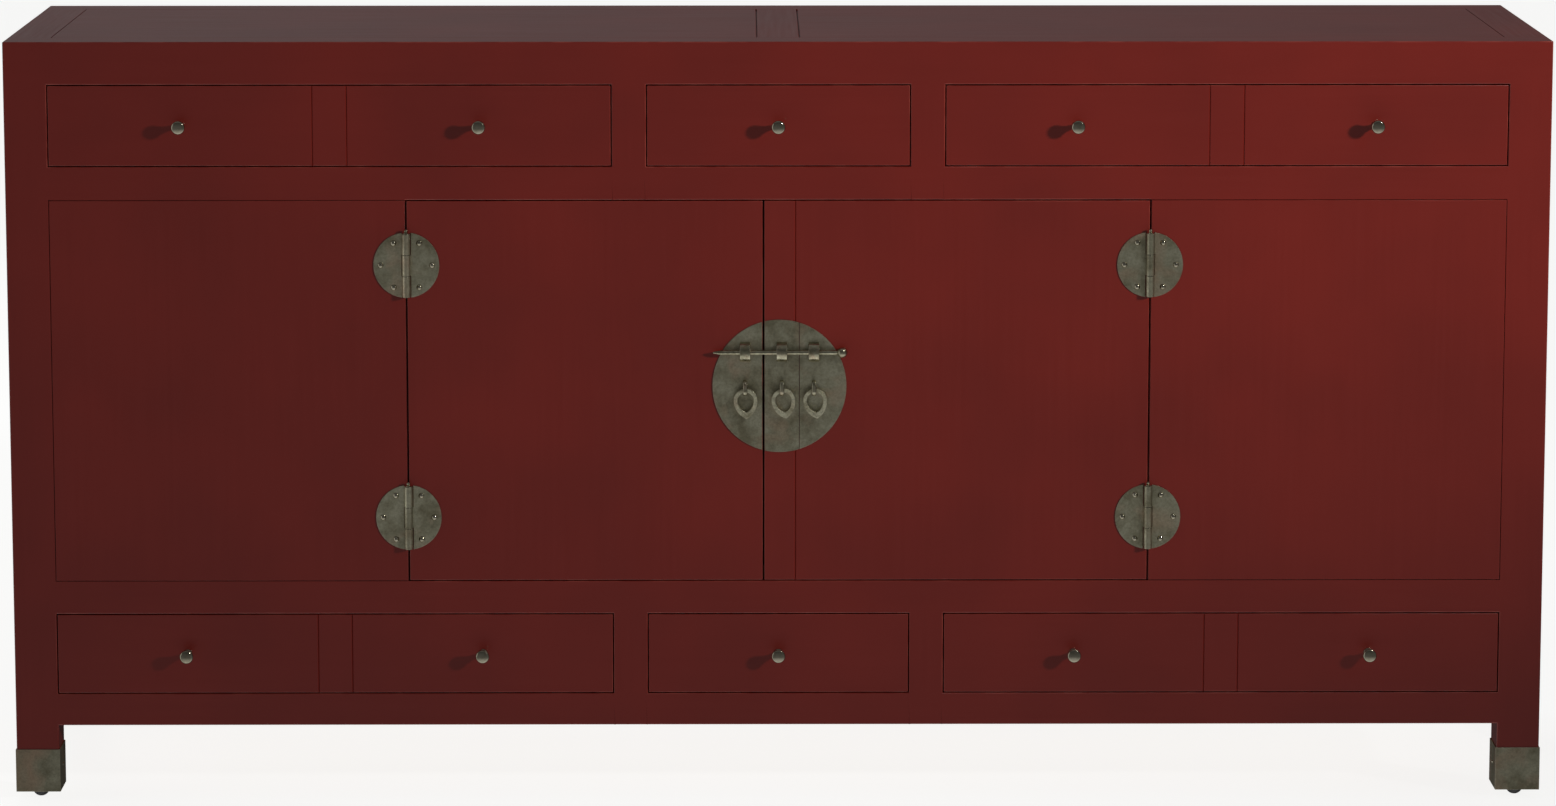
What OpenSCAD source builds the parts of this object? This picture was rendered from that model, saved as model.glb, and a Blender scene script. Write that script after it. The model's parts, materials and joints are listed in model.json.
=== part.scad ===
// Lacquered sideboard: five bays wide, drawers above and below a row of two doors and two fixed panels.
// The front faces -Y, +Z is up, and the object stands on Z = 0, centred on X and Y.

/* [Carcass] */
// Width across the legs
width = 1800; // [1700:10:1900]
// Depth from front face to back
depth = 450; // [430:5:500]
// Height from the floor to the top surface
height = 900; // [860:5:940]
// Side of the square legs, and width of the top frame
leg = 50; // [48:1:52]
// Free length of the legs under the bottom rails, without the glides
leg_free = 80; // [75:1:100]

/* [Front] */
// Height of the drawer openings
drawer_h = 96; // [90:1:105]
// Height of the rails between drawers and doors
rail_h = 39; // [36:1:42]
// Height of the bottom rails
bottom_rail_h = 38; // [34:1:42]
// Width of the posts between the drawers
divider_w = 40; // [36:1:44]
// Width of the fixed panel at each end of the door row
fixed_panel_w = 416; // [400:2:430]
// Width of the centre stile that the right door carries
stile_w = 37.5; // [36:0.5:40]
// Gap between a drawer front or door and its opening
reveal = 1.2; // [1:0.1:1.6]

/* [Boards] */
// Thickness of doors, fixed front panels and drawer fronts
front_t = 22; // [20:1:24]
// Thickness of side panels, decks and shelf
panel_t = 18; // [16:1:20]
// Thickness of the two top panels
top_panel_t = 20; // [18:1:24]
// Thickness of the sides and back of a drawer's box
box_t = 12; // [10:1:14]

/* [Metalwork] */
// Radius of the round lock plate
plate_r = 78.5; // [74:0.5:80]
// Thickness of plates and hinge leaves
plate_t = 1.2; // [1:0.1:1.5]
// Radius of a hinge's round outline
leaf_r = 38.5; // [36:0.5:40]
// Height of a hinge barrel
barrel_h = 75; // [72:1:78]
// Outer diameter of a hinge barrel
barrel_d = 9.7; // [9:0.1:10]
// Diameter of a knob's ball
knob_d = 16; // [15:0.5:18]
// How far a knob stands out of its drawer
knob_out = 22; // [21:0.5:26]
// Diameter of the bolt
bolt_d = 5.6; // [5:0.1:6]
// Height of the sheet-metal shoes on the legs
shoe_h = 51; // [48:1:60]

/* [Hidden] */

$fn = 64;
eps = 0.01;

lacquer = "#5e231d";
aged_metal = "#605d4d";
bright_metal = "#b9b4a6";
bare_wood = "#b98f62";
dark_rubber = "#161616";

// Shoes and glides
shoe_wall = 1.25;
shoe_floor = 1.5;
glide_h = 10;
glide_d = 20.5;
glide_sink = 0.6;
glide_stem_d = 6;
glide_stem_h = 18;

// Edges of the carcass
right_x = width / 2;
inner_x = right_x - leg;
front_y = (knob_out - depth - shoe_wall) / 2;
back_y = front_y + depth;
leg_back_y = front_y + leg;
rear_leg_y = back_y - leg;

// Heights of the horizontal members, upwards
bottom_rail_z = glide_h + leg_free;
low_drawer_z = bottom_rail_z + bottom_rail_h;
lower_rail_z = low_drawer_z + drawer_h;
door_z = lower_rail_z + rail_h;
top_rail_z = height - leg;
high_drawer_z = top_rail_z - drawer_h;
upper_rail_z = high_drawer_z - rail_h;
door_h = upper_rail_z - door_z;

// Bays across the front, and the two faces of each post between drawers
bay_w = (2 * inner_x - 4 * divider_w) / 5;
post_in = bay_w / 2;
post_out = post_in + divider_w;
wide_centre = (inner_x + post_out) / 2;
wide_knob_dx = (bay_w + divider_w) / 2;

// Door row
hinge_x = inner_x - fixed_panel_w;
meeting_x = 1.25 - stile_w / 2;
stile_edge_x = meeting_x + stile_w;
hinge_gap = 1.5;
door_gap = 2;
scribe_w = 1.8;
scribe_deep = 1;

// Side and back boards
side_recess = 6;
side_panel_x = right_x - side_recess - panel_t;
back_t = 12;
back_recess = 5;
back_panel_y = back_y - back_recess - back_t;
tongue = 8;
tongue_z = height - 18;
tenon_l = 28;
tenon_t = 12;
tenon_in = 14;

// Decks, cabinet floor and shelf
deck_t = 12;
floor_t = 15;
guide_h = 20;
guide_gap = 4;
guide_in = 2;
shelf_z = door_z + door_h / 2 - panel_t / 2;
shelf_front_y = leg_back_y + 10;
bearer_h = 25;
bearer_w = 15;
stop_gap = 1;

// Drawer boxes
box_d = 360;
box_h = drawer_h - 18;
box_gap = 1;
box_bottom_t = 6;
box_bottom_rise = 2;
joint_gap = 0.2;
knob_stud_d = 4;
knob_stud_l = 15;
knob_neck_d = 7;
knob_base_d = 10.5;
knob_base_t = 2;

// Hinges
hinge_up_z = door_z + door_h / 2 + 149.5;
hinge_low_z = door_z + door_h / 2 - 149.5;
pin_y = front_y - barrel_d / 2 - 0.15;
pin_d = 4;
pin_play = 0.05;
knuckle_gap = 0.4;
leaf_edge = 5.4;
nail_d = 7;
nail_dome = 2.2;
nail_shank_d = 2;
nail_shank_l = 12;
leaf_nails = [[15, 26], [30, 0], [15, -26]];
shoe_nail_d = 5;
shoe_nail_dome = 1.4;

// Lock plate and its fittings
lock_x = 1.25;
lock_z = door_z + door_h / 2 + 6.5;
plate_split_x = 24.5;
plate_gap = 0.5;
plate_door_gap = 2.6;
fitting_xs = [-39, 4, 41.5];
bolt_z = lock_z + 40.5;
bolt_off = 6;
bolt_y = front_y - plate_t - bolt_off;
bolt_left = -76.5;
bolt_ball_x = 74.5;
bolt_ball_d = 12.5;
bolt_tip_l = 9;
bolt_play = 0.3;
staple_r = 11.7;
staple_w = 12.4;
staple_tang_d = 3;
tang_l = 18;
tang_y = front_y - plate_t - 1;
staple_tang_dz = 9;
eye_z = lock_z - 4.5;
eye_w = 5;
eye_r = 6;
eye_bore_d = 7.4;
eye_top_dz = 6.5;
eye_tang_d = 4;
pull_y = front_y - plate_t - 6.5;
pull_r = 14;
pull_bar = 4.5;
pull_t = 3;
pull_tip = 21.5;
pull_inner_tip = 14;
pull_lean = [3, 9, 7];

// A board between two corners
module board(x, y, z) {
    translate([x[0], y[0], z[0]])
        cube([x[1] - x[0], y[1] - y[0], z[1] - z[0]]);
}

// A mirrored pair, left and right
module both_sides() {
    children();
    mirror([1, 0, 0]) children();
}

// A round rod along X or Y
module rod_x(d, l) {
    rotate([0, 90, 0]) cylinder(d = d, h = l);
}

module rod_y(d, l) {
    rotate([-90, 0, 0]) cylinder(d = d, h = l);
}

// ---- Carcass frame ----

// The stub tenon at the right end of a front rail
module rail_tenon(z, h) {
    board([inner_x - eps, inner_x + tenon_l], [front_y + tenon_in, front_y + tenon_in + tenon_t],
          [z + h / 4, z + h * 3 / 4]);
}

module rail_tenons() {
    rail_tenon(bottom_rail_z, bottom_rail_h);
    rail_tenon(lower_rail_z, rail_h);
    rail_tenon(upper_rail_z, rail_h);
}

// Where the two shoe nails of the right front leg sit, pointing into the leg
module at_shoe_nails() {
    z = glide_h + shoe_h * 0.55;
    translate([inner_x - shoe_wall, front_y + leg / 2, z]) rotate([0, 90, 0]) children();
    translate([right_x - leg / 2, leg_back_y + shoe_wall, z]) rotate([90, 0, 0]) children();
}

module shoe_shank() {
    cylinder(d = nail_shank_d, h = nail_shank_l);
}

// The right front leg; the other three are mirrored from it
module right_leg(with_tenons) {
    difference() {
        board([inner_x, right_x], [front_y, leg_back_y], [glide_h + shoe_floor, top_rail_z]);
        if (with_tenons) rail_tenons();
        at_shoe_nails() shoe_shank();
        translate([right_x - leg / 2, front_y + leg / 2, 0]) cylinder(d = glide_stem_d, h = glide_stem_h);
    }
}

module to_rear() {
    translate([0, front_y + back_y, 0]) mirror([0, 1, 0]) children();
}

module front_left_leg() { color(lacquer) mirror([1, 0, 0]) right_leg(true); }
module front_right_leg() { color(lacquer) right_leg(true); }
module rear_left_leg() { color(lacquer) to_rear() mirror([1, 0, 0]) right_leg(false); }
module rear_right_leg() { color(lacquer) to_rear() right_leg(false); }

// The space that the tongues of the top panels take in the frame round them
module tongue_space() {
    board([-inner_x - tongue, inner_x + tongue],
          [leg_back_y - tongue, rear_leg_y + tongue], [tongue_z, tongue_z + tongue]);
}

module top_long_rails() {
    color(lacquer) difference() {
        union() {
            board([-right_x, right_x], [front_y, leg_back_y], [top_rail_z, height]);
            board([-right_x, right_x], [rear_leg_y, back_y], [top_rail_z, height]);
        }
        tongue_space();
    }
}

module top_side_rails() {
    color(lacquer) both_sides() difference() {
        board([inner_x, right_x], [leg_back_y, rear_leg_y], [top_rail_z, height]);
        tongue_space();
    }
}

module top_batten() {
    color(lacquer) difference() {
        board([-leg / 2, leg / 2], [leg_back_y, rear_leg_y], [top_rail_z, height]);
        both_sides() board([leg / 2 - tongue, leg], [front_y, back_y], [tongue_z, tongue_z + tongue]);
    }
}

// The right top panel, with a tongue all round
module top_panel() {
    board([leg / 2, inner_x], [leg_back_y, rear_leg_y], [height - top_panel_t, height]);
    board([leg / 2 - tongue, inner_x + tongue],
          [leg_back_y - tongue, rear_leg_y + tongue], [tongue_z, tongue_z + tongue]);
}

module top_right_panel() { color(lacquer) top_panel(); }
module top_left_panel() { color(lacquer) mirror([1, 0, 0]) top_panel(); }

module front_rail(z, h) {
    color(lacquer) {
        board([-inner_x, inner_x], [front_y, leg_back_y], [z, z + h]);
        both_sides() rail_tenon(z, h);
    }
}

module upper_front_rail() { front_rail(upper_rail_z, rail_h); }
module lower_front_rail() { front_rail(lower_rail_z, rail_h); }
module bottom_front_rail() { front_rail(bottom_rail_z, bottom_rail_h); }

module drawer_dividers() {
    color(lacquer) both_sides() {
        for (z = [low_drawer_z, high_drawer_z])
            board([post_in, post_out], [front_y, leg_back_y], [z, z + drawer_h]);
    }
}

module side_panels() {
    color(lacquer) both_sides()
        board([side_panel_x, side_panel_x + panel_t], [leg_back_y, rear_leg_y],
              [low_drawer_z, top_rail_z]);
}

module side_and_rear_rails() {
    color(lacquer) {
        both_sides() board([inner_x, right_x], [leg_back_y, rear_leg_y], [bottom_rail_z, low_drawer_z]);
        board([-inner_x, inner_x], [rear_leg_y, back_y], [bottom_rail_z, low_drawer_z - deck_t]);
    }
}

module back_panel() {
    color(lacquer) board([-inner_x, inner_x], [back_panel_y, back_panel_y + back_t],
                         [low_drawer_z - deck_t, top_rail_z]);
}

// ---- Fixed panels of the door row ----

// Nails of one hinge half, on the right of the pin, pointing into the wood
module at_leaf_nails() {
    for (z = [hinge_low_z, hinge_up_z])
        for (n = leaf_nails)
            translate([n[0], front_y - plate_t, z + n[1]]) rotate([-90, 0, 0]) children();
}

module leaf_shanks() {
    at_leaf_nails() cylinder(d = nail_shank_d, h = nail_shank_l);
}

module fixed_right_panel() {
    color(lacquer) difference() {
        board([hinge_x + hinge_gap / 2, inner_x], [front_y, front_y + front_t], [door_z, upper_rail_z]);
        translate([hinge_x, 0, 0]) leaf_shanks();
    }
}

module fixed_left_panel() {
    mirror([1, 0, 0]) fixed_right_panel();
}

// ---- Decks, guides and shelf ----

module drawer_decks() {
    color(bare_wood) for (z = [low_drawer_z, high_drawer_z])
        board([-inner_x, inner_x], [leg_back_y, back_panel_y], [z - deck_t, z]);
}

module cabinet_floor() {
    color(bare_wood) board([-inner_x, inner_x], [front_y + front_t + stop_gap, back_panel_y],
                           [door_z, door_z + floor_t]);
}

// Ledgers carry the decks at the side panels and guide the outer drawers; strips behind the posts
// guide the drawers between them
module drawer_guides() {
    ledgers = [[low_drawer_z, low_drawer_z + guide_h], [door_z, door_z + floor_t],
               [high_drawer_z - deck_t, high_drawer_z + guide_h]];
    color(bare_wood) both_sides() {
        for (z = ledgers) board([inner_x, side_panel_x], [leg_back_y, rear_leg_y], z);
        for (z = [low_drawer_z, high_drawer_z])
            board([post_in + guide_in, post_out - guide_in], [leg_back_y, back_panel_y], [z, z + guide_h]);
    }
}

module shelf() {
    color(bare_wood) board([-inner_x, inner_x], [shelf_front_y, back_panel_y],
                           [shelf_z, shelf_z + panel_t]);
}

module shelf_bearers() {
    color(bare_wood) {
        both_sides() board([inner_x - bearer_w, side_panel_x], [shelf_front_y, rear_leg_y],
                           [shelf_z - bearer_h, shelf_z]);
        board([-inner_x, inner_x], [back_panel_y - bearer_w, back_panel_y],
              [shelf_z - bearer_h, shelf_z]);
    }
}

// ---- Shoes and glides ----

module at_legs() {
    both_sides() {
        children();
        to_rear() children();
    }
}

module leg_shoes() {
    out = right_x + shoe_wall;
    color(aged_metal) at_legs() difference() {
        board([inner_x - shoe_wall, out], [front_y - shoe_wall, leg_back_y + shoe_wall],
              [glide_h, glide_h + shoe_h]);
        board([inner_x, right_x], [front_y, leg_back_y], [glide_h + shoe_floor, height]);
        at_shoe_nails() translate([0, 0, -eps]) shoe_shank();
        translate([right_x - leg / 2, front_y + leg / 2, 0]) cylinder(d = glide_stem_d, h = glide_stem_h);
    }
}

// A domed glide with a small flat to stand on, and its stem up into the leg
module glide() {
    dome_r = (pow(glide_d / 2, 2) + pow(glide_h, 2)) / (2 * glide_h);
    intersection() {
        translate([0, 0, dome_r - glide_sink]) sphere(r = dome_r);
        cylinder(d = glide_d, h = glide_h);
    }
    cylinder(d = glide_stem_d, h = glide_stem_h);
}

module leg_glides() {
    color(dark_rubber) at_legs() translate([right_x - leg / 2, front_y + leg / 2, 0]) glide();
}

// ---- Hinges ----

// A domed nail head on z = 0, its shank pointing along +z
module nail(d, dome) {
    dome_r = (pow(d / 2, 2) + pow(dome, 2)) / (2 * dome);
    intersection() {
        translate([0, 0, dome_r - dome]) sphere(r = dome_r);
        translate([0, 0, -dome]) cylinder(d = d, h = dome);
    }
    translate([0, 0, -eps]) cylinder(d = nail_shank_d, h = nail_shank_l + eps);
}

// Half of a hinge on the right of its pin, with the knuckles named by their places, -1, 0 or 1
module leaf(z, places, bore_d) {
    knuckle_h = barrel_h / 3 - knuckle_gap;
    difference() {
        union() {
            intersection() {
                translate([0, front_y - plate_t, z]) rod_y(2 * leaf_r, plate_t);
                board([leaf_edge, leaf_r], [front_y - plate_t, front_y], [z - leaf_r, z + leaf_r]);
            }
            for (p = places) translate([0, 0, z + p * barrel_h / 3 - knuckle_h / 2]) {
                translate([0, pin_y, 0]) cylinder(d = barrel_d, h = knuckle_h);
                board([0, leaf_edge + 1], [front_y - plate_t, front_y - 0.15], [0, knuckle_h]);
            }
        }
        translate([0, pin_y, z - barrel_h]) cylinder(d = bore_d, h = 2 * barrel_h);
        for (n = leaf_nails)
            translate([n[0], front_y - 2 * plate_t, z + n[1]]) rod_y(nail_shank_d, 3 * plate_t);
    }
}

module fixed_hinge_leaves() {
    color(aged_metal) both_sides() translate([hinge_x, 0, 0])
        for (z = [hinge_low_z, hinge_up_z]) leaf(z, [-1, 1], pin_d);
}

module door_leaves() {
    for (z = [hinge_low_z, hinge_up_z]) leaf(z, [0], pin_d + 2 * pin_play);
}

module left_hinge_leaves() { color(aged_metal) translate([-hinge_x, 0, 0]) door_leaves(); }
module right_hinge_leaves() { mirror([1, 0, 0]) left_hinge_leaves(); }

module hinge_pins() {
    color(aged_metal) both_sides() for (z = [hinge_low_z, hinge_up_z])
        translate([hinge_x, pin_y, z]) {
            translate([0, 0, -barrel_h / 2]) cylinder(d = pin_d, h = barrel_h);
            translate([0, 0, barrel_h / 2]) cylinder(d = 5.6, h = 1.4);
            translate([0, 0, barrel_h / 2 + 3]) sphere(d = 4.4);
        }
}

module fixed_nails() {
    color(bright_metal) {
        both_sides() translate([hinge_x, 0, 0]) at_leaf_nails() nail(nail_d, nail_dome);
        at_legs() at_shoe_nails() nail(shoe_nail_d, shoe_nail_dome);
    }
}

module left_door_nails() {
    color(bright_metal) translate([-hinge_x, 0, 0]) at_leaf_nails() nail(nail_d, nail_dome);
}

module right_door_nails() {
    mirror([1, 0, 0]) left_door_nails();
}

// ---- Doors ----

module scribe(x, z, h) {
    translate([x, front_y, z]) linear_extrude(h)
        polygon([[-scribe_w / 2, -eps], [scribe_w / 2, -eps], [0, scribe_deep]]);
}

// Tangs of the staple and the eye at x, from behind the plate into the door
module tangs(x) {
    for (dz = [-staple_tang_dz, staple_tang_dz])
        translate([x, tang_y, bolt_z + dz]) rod_y(staple_tang_d, tang_l);
    translate([x, tang_y, eye_z + eye_top_dz / 2]) rod_y(eye_tang_d, tang_l);
}

module door_slab(x) {
    board(x, [front_y, front_y + front_t], [door_z + reveal, upper_rail_z - reveal]);
}

module left_door() {
    color(lacquer) difference() {
        door_slab([-hinge_x + hinge_gap / 2, meeting_x - door_gap / 2]);
        translate([-hinge_x, 0, 0]) leaf_shanks();
        tangs(fitting_xs[0]);
    }
}

module right_door() {
    color(lacquer) difference() {
        door_slab([meeting_x + door_gap / 2, hinge_x - hinge_gap / 2]);
        mirror([1, 0, 0]) translate([-hinge_x, 0, 0]) leaf_shanks();
        for (i = [1, 2]) tangs(fitting_xs[i]);
        scribe(stile_edge_x, door_z, door_h);
    }
}

// The part of the round lock plate between two X values
module lock_plate(x) {
    difference() {
        intersection() {
            translate([lock_x, front_y - plate_t, lock_z]) rod_y(2 * plate_r, plate_t);
            board(x, [front_y - plate_t, front_y], [lock_z - plate_r, lock_z + plate_r]);
        }
        for (fx = fitting_xs) tangs(fx);
    }
}

module left_lock_plate() {
    color(aged_metal) lock_plate([lock_x - plate_r, meeting_x - plate_door_gap / 2]);
}

module right_lock_plates() {
    color(aged_metal) {
        lock_plate([meeting_x + plate_door_gap / 2, plate_split_x - plate_gap / 2]);
        lock_plate([plate_split_x + plate_gap / 2, lock_x + plate_r]);
    }
}

// A half-round staple, bored for the bolt, with two tangs
module staple(x) {
    difference() {
        intersection() {
            translate([x - staple_w / 2, front_y - plate_t, bolt_z]) rod_x(2 * staple_r, staple_w);
            board([x - staple_w, x + staple_w], [front_y - plate_t - staple_r, front_y - plate_t],
                  [bolt_z - staple_r, bolt_z + staple_r]);
        }
        translate([x - staple_w, bolt_y, bolt_z]) rod_x(bolt_d + 2 * bolt_play, 2 * staple_w);
    }
}

// An eye lug, bored for the pull's bar
module eye(x) {
    difference() {
        union() {
            for (dz = [0, eye_top_dz])
                translate([x - eye_w / 2, pull_y, eye_z + dz]) rod_x(2 * eye_r, eye_w);
            board([x - eye_w / 2, x + eye_w / 2], [pull_y - eye_r, pull_y + eye_r],
                  [eye_z, eye_z + eye_top_dz]);
            board([x - eye_w / 2, x + eye_w / 2], [pull_y, front_y - plate_t],
                  [eye_z, eye_z + eye_top_dz]);
        }
        translate([x - eye_w, pull_y, eye_z]) rod_x(eye_bore_d, 2 * eye_w);
    }
}

module staple_and_eye(x) {
    staple(x);
    eye(x);
    tangs(x);
}

module left_staple_and_eye() { color(aged_metal) staple_and_eye(fitting_xs[0]); }
module right_staples_and_eyes() { color(aged_metal) for (i = [1, 2]) staple_and_eye(fitting_xs[i]); }

// The sliding bolt, with a tapered tip and a ball at its right end
module bolt() {
    color(aged_metal) translate([0, bolt_y, bolt_z]) {
        translate([bolt_left + bolt_tip_l, 0, 0]) rod_x(bolt_d, bolt_ball_x - bolt_left - bolt_tip_l);
        translate([bolt_left, 0, 0]) rotate([0, 90, 0])
            cylinder(d1 = bolt_d / 3, d2 = bolt_d, h = bolt_tip_l);
        translate([bolt_ball_x, 0, 0]) sphere(d = bolt_ball_d);
    }
}

// A leaf outline: half round above, two arcs meeting in a tip below
module leaf_outline(r, tip) {
    arc_r = (r * r + tip * tip) / (2 * r);
    intersection() {
        circle(r = r);
        translate([-r, 0]) square([2 * r, r]);
    }
    intersection() {
        translate([r - arc_r, 0]) circle(r = arc_r);
        translate([arc_r - r, 0]) circle(r = arc_r);
        translate([-r, -tip]) square([2 * r, tip]);
    }
}

module pull(i) {
    color(bright_metal) translate([fitting_xs[i], pull_y, eye_z]) rotate([0, -pull_lean[i], 0])
        translate([0, pull_t / 2, pull_bar / 2 - pull_r]) rotate([90, 0, 0]) linear_extrude(pull_t)
        difference() {
            leaf_outline(pull_r, pull_tip);
            leaf_outline(pull_r - pull_bar, pull_inner_tip);
        }
}

module left_pull() { pull(0); }
module middle_pull() { pull(1); }
module right_pull() { pull(2); }

// ---- Drawers ----

function column_x(column) = column == 0 ? [post_out, inner_x] : [-post_in, post_in];
function knob_xs(column) = column == 0 ? [wide_centre - wide_knob_dx, wide_centre + wide_knob_dx] : [0];

module at_knobs(column, z) {
    for (x = knob_xs(column)) translate([x, front_y, z + drawer_h / 2]) rotate([90, 0, 0]) children();
}

// A drawer's front; column 0 is a wide one on the right, column 1 the narrow one
module drawer_front(column, z) {
    x = column_x(column);
    color(lacquer) difference() {
        board([x[0] + reveal, x[1] - reveal], [front_y, front_y + front_t],
              [z + reveal, z + drawer_h - reveal]);
        at_knobs(column, z) translate([0, 0, -knob_stud_l]) cylinder(d = knob_stud_d, h = knob_stud_l + 1);
        if (column == 0) for (dx = [-divider_w / 2, divider_w / 2]) scribe(wide_centre + dx, z, drawer_h);
    }
}

// Two sides, a back and a bottom, with a fine joint between them
module drawer_box(column, z) {
    x = [column_x(column)[0] + guide_gap, column_x(column)[1] - guide_gap];
    in_x = [x[0] + box_t + joint_gap, x[1] - box_t - joint_gap];
    y = [front_y + front_t, front_y + front_t + box_d];
    low = z + box_gap;
    bottom_z = low + box_bottom_rise;
    color(bare_wood) {
        for (side_x = [x[0], x[1] - box_t]) board([side_x, side_x + box_t], y, [low, low + box_h]);
        board(in_x, [y[1] - box_t, y[1]], [low, low + box_h]);
        board(in_x, [y[0], y[1] - box_t - joint_gap], [bottom_z, bottom_z + box_bottom_t]);
    }
}

// A ball knob on a waisted neck
module knob() {
    translate([0, 0, -knob_stud_l]) cylinder(d = knob_stud_d, h = knob_stud_l + 1);
    cylinder(d = knob_base_d, h = knob_base_t);
    cylinder(d = knob_neck_d, h = knob_out - knob_d / 2);
    translate([0, 0, knob_out - knob_d / 2]) sphere(d = knob_d);
}

module drawer_knobs(column, z) {
    color(bright_metal) at_knobs(column, z) knob();
}

module top_right_front() { drawer_front(0, high_drawer_z); }
module top_right_box() { drawer_box(0, high_drawer_z); }
module top_right_knobs() { drawer_knobs(0, high_drawer_z); }
module top_left_front() { mirror([1, 0, 0]) top_right_front(); }
module top_left_box() { mirror([1, 0, 0]) top_right_box(); }
module top_left_knobs() { mirror([1, 0, 0]) top_right_knobs(); }
module top_middle_front() { drawer_front(1, high_drawer_z); }
module top_middle_box() { drawer_box(1, high_drawer_z); }
module top_middle_knob() { drawer_knobs(1, high_drawer_z); }
module bottom_right_front() { drawer_front(0, low_drawer_z); }
module bottom_right_box() { drawer_box(0, low_drawer_z); }
module bottom_right_knobs() { drawer_knobs(0, low_drawer_z); }
module bottom_left_front() { mirror([1, 0, 0]) bottom_right_front(); }
module bottom_left_box() { mirror([1, 0, 0]) bottom_right_box(); }
module bottom_left_knobs() { mirror([1, 0, 0]) bottom_right_knobs(); }
module bottom_middle_front() { drawer_front(1, low_drawer_z); }
module bottom_middle_box() { drawer_box(1, low_drawer_z); }
module bottom_middle_knob() { drawer_knobs(1, low_drawer_z); }

front_left_leg();
front_right_leg();
rear_left_leg();
rear_right_leg();
top_long_rails();
top_side_rails();
top_left_panel();
top_right_panel();
top_batten();
upper_front_rail();
lower_front_rail();
bottom_front_rail();
drawer_dividers();
fixed_left_panel();
fixed_right_panel();
side_panels();
side_and_rear_rails();
back_panel();
drawer_decks();
drawer_guides();
cabinet_floor();
shelf();
shelf_bearers();
leg_shoes();
leg_glides();
fixed_hinge_leaves();
hinge_pins();
fixed_nails();
left_door();
left_hinge_leaves();
left_lock_plate();
left_staple_and_eye();
left_door_nails();
right_door();
right_hinge_leaves();
right_lock_plates();
right_staples_and_eyes();
right_door_nails();
bolt();
left_pull();
middle_pull();
right_pull();
top_left_front();
top_left_box();
top_left_knobs();
top_middle_front();
top_middle_box();
top_middle_knob();
top_right_front();
top_right_box();
top_right_knobs();
bottom_left_front();
bottom_left_box();
bottom_left_knobs();
bottom_middle_front();
bottom_middle_box();
bottom_middle_knob();
bottom_right_front();
bottom_right_box();
bottom_right_knobs();
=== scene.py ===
"""A long lacquered sideboard with aged metal fittings, finished round its fixed frame."""

import json
import math

import bmesh
import bpy
from bpy.props import FloatProperty, FloatVectorProperty, IntProperty, PointerProperty
from mathutils import Matrix, Vector


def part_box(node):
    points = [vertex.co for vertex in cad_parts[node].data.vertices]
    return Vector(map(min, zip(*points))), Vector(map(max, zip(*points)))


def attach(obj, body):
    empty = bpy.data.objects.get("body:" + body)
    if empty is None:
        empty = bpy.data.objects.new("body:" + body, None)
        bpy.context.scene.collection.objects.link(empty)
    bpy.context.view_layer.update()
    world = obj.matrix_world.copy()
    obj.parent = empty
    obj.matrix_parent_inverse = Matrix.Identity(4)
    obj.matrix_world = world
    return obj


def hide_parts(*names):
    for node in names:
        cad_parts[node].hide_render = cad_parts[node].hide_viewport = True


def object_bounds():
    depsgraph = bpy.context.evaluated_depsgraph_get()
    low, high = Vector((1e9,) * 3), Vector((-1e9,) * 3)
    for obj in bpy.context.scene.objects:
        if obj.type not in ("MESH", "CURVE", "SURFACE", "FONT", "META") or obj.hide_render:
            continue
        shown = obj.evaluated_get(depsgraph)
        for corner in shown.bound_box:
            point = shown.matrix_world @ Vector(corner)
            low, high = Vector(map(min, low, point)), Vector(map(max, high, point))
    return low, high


bl_info = {
    "name": "Lacquered Sideboard",
    "version": (1, 0, 0),
    "blender": (4, 5, 0),
    "location": "View3D > Sidebar > Sideboard",
    "description": "Finishes a red lacquered sideboard with aged metal fittings",
    "category": "Object",
}

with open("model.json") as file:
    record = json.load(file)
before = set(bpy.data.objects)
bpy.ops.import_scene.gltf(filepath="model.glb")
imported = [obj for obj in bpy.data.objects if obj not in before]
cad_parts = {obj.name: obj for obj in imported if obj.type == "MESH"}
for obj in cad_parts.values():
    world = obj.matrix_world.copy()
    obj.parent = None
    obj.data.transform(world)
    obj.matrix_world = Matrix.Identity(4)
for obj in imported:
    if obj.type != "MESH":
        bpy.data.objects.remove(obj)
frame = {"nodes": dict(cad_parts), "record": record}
CAD_LOW, CAD_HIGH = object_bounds()

MM = 0.001
X, Y, Z = range(3)
# A face looks along an axis when its normal has at least this share of it.
FACING = 0.9
# Points nearer than this, in metres, are at the same place.
SAME = 1e-6
TOUCHING = 1e-5
RECORD = frame["record"]
BODY_OF = {n: body for body, nodes in RECORD["behaviour"]["bodies"].items() for n in nodes}

UPRIGHT_MEMBERS = ["front_left_leg", "front_right_leg", "rear_left_leg", "rear_right_leg"]
LONG_MEMBERS = [
    "top_long_rails", "upper_front_rail", "lower_front_rail", "bottom_front_rail", "side_and_rear_rails",
]
CROSS_MEMBERS = ["top_side_rails", "top_batten"]
FLUSH_PANELS = ["top_left_panel", "top_right_panel", "fixed_left_panel", "fixed_right_panel"]
OTHER_PANELS = ["side_panels", "back_panel"]
INSIDE_BOARDS = ["drawer_decks", "drawer_guides", "cabinet_floor", "shelf", "shelf_bearers"]
DRAWERS = [f"{row}_{place}" for row in ("top", "bottom") for place in ("left", "middle", "right")]


# ---- Sizes and colours a user would change ----


def linear(code):
    """A linear RGBA colour from an sRGB hex code."""
    parts = [int(code[i : i + 2], 16) / 255 for i in (1, 3, 5)]
    return (*[c / 12.92 if c <= 0.04045 else ((c + 0.055) / 1.055) ** 2.4 for c in parts], 1.0)


def colour(name, description, code):
    return FloatVectorProperty(
        name=name, description=description, default=linear(code), subtype="COLOR", size=4, min=0.0, max=1.0
    )


def length(name, description, mm):
    return FloatProperty(name=name, description=description, default=mm * MM, min=0.0, unit="LENGTH")


def power(name, description, watts):
    return FloatProperty(name=name, description=description, default=watts, min=0.0, unit="POWER")


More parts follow.
